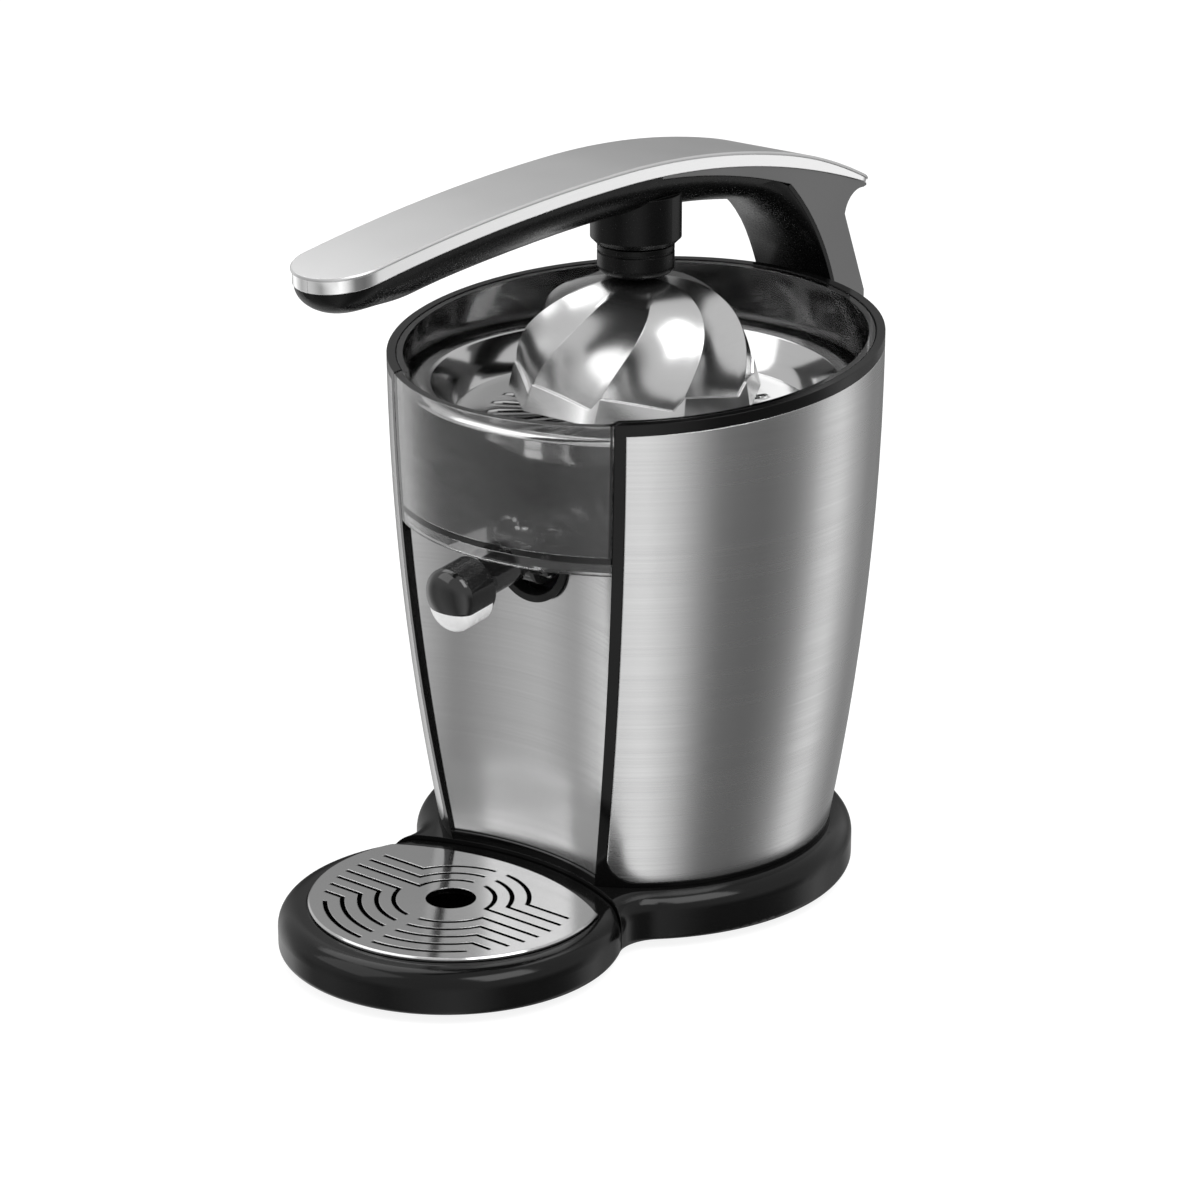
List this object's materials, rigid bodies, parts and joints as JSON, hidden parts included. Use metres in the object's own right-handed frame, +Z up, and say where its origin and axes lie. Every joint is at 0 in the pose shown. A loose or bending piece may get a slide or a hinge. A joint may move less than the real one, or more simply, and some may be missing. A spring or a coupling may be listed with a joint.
{
  "type": "electric citrus press",
  "caption": "Electric citrus press: tapered stainless drum with a hollow front bay, clear collector, twisted fluted cone, tilting spout, lever arm with presser and a slotted drip tray.",
  "frame": {"origin": "middle of the part in plan, on the table that its feet stand on", "axes": "+Z up; -Y to the front, where the spout, the bay and the drip tray are; +X to the right seen from the front"},
  "size_m": [0.165, 0.2672, 0.2517],
  "materials": {
    "gloss_black": "gloss",
    "matte_black": "satin",
    "rubber": "matt",
    "brushed_steel": "brushed level",
    "polished_steel": "polished",
    "polished_alloy": "polished",
    "smoky_clear": "clear, smoky",
    "smoky_dark": "clear, dark",
    "bright_lip": "bright",
    "satin_silver": "satin",
    "bright_trim": "polished",
    "satin_grey": "satin",
    "machined_steel": "machined",
    "zinc_screws": "zinc plated",
    "gear_nylon": "natural",
    "grey_nylon": "matt",
    "bronze": "sintered",
    "motor_steel": "plain",
    "lamination": "plain"
  },
  "bodies": {
    "housing": {"base": "gloss_black", "bottom_cover": "matte_black", "cover_screws": "zinc_screws", "chassis_screws": "zinc_screws", "feet": "rubber", "cord_gland": "rubber", "chassis": "gloss_black", "outer_shell": "brushed_steel", "front_panel": "brushed_steel", "spout_grommet": "rubber", "collector": "smoky_clear", "shaft_seal": "rubber", "strainer": "polished_steel", "gear_plate": "grey_nylon", "gear_cover": "grey_nylon", "hang_screws": "zinc_screws", "plate_screws": "zinc_screws", "motor_screws": "zinc_screws", "shaft_bushes": "bronze", "return_spring": "machined_steel", "start_switch": "grey_nylon", "motor_can": "motor_steel", "stator": "lamination", "motor_bearings": "bronze", "idler_pin": "machined_steel", "hinge_bracket": "matte_black", "hinge_bushes": "bronze", "bracket_screws": "zinc_screws"},
    "arm": {"arm_cover": "satin_silver", "arm_trim": "bright_trim", "arm_liner": "matte_black", "arm_shell": "satin_grey", "presser_pad": "matte_black", "hinge_pin": "machined_steel"},
    "press": {"thrust_collar": "machined_steel"},
    "cone": {"juicing_cone": "polished_alloy", "drive_shaft": "machined_steel", "output_gear": "gear_nylon"},
    "idler": {"idler_gear": "gear_nylon"},
    "rotor": {"rotor": "machined_steel", "motor_pinion": "gear_nylon"},
    "spout": {"spout": "smoky_dark", "spout_lip": "bright_lip"},
    "tray": {"drip_tray": "gloss_black", "tray_feet": "rubber"},
    "plate": {"drip_plate": "polished_steel"}
  },
  "joints": [
    {"name": "arm_hinge", "type": "hinge", "parent": "housing", "child": "arm", "pos_m": [0, 0.1221, 0.173], "axis": [-1, 0, 0], "range_deg": [0, 75]},
    {"name": "press_slide", "type": "slide", "parent": "housing", "child": "press", "axis": [0, 0, -1], "range_m": [0, 0.0025], "stiffness_N_per_m": 6000, "springref_m": -0.0015, "deforming": ["return_spring"]},
    {"name": "cone_spin", "type": "hinge", "parent": "press", "child": "cone", "pos_m": [0, 0.0236, 0.19], "axis": [0, 0, 1], "continuous": true},
    {"name": "idler_spin", "type": "hinge", "parent": "housing", "child": "idler", "pos_m": [0, 0.0572, 0.09], "axis": [0, 0, 1], "continuous": true},
    {"name": "rotor_spin", "type": "hinge", "parent": "housing", "child": "rotor", "pos_m": [0, 0.0236, 0.06], "axis": [0, 0, 1], "continuous": true},
    {"name": "spout_tilt", "type": "hinge", "parent": "housing", "child": "spout", "pos_m": [0, -0.0334, 0.1274], "axis": [1, 0, 0], "range_deg": [0, 25]},
    {"name": "tray_slide", "type": "slide", "parent": "housing", "child": "tray", "axis": [0, -1, 0], "range_m": [0, 0.08]},
    {"name": "plate_lift", "type": "slide", "parent": "tray", "child": "plate", "axis": [0, 0, 1], "range_m": [0, 0.03]}
  ],
  "couplings": [
    {"joint": "idler_spin", "follows": "cone_spin", "ratio": -3},
    {"joint": "rotor_spin", "follows": "cone_spin", "ratio": 11}
  ]
}
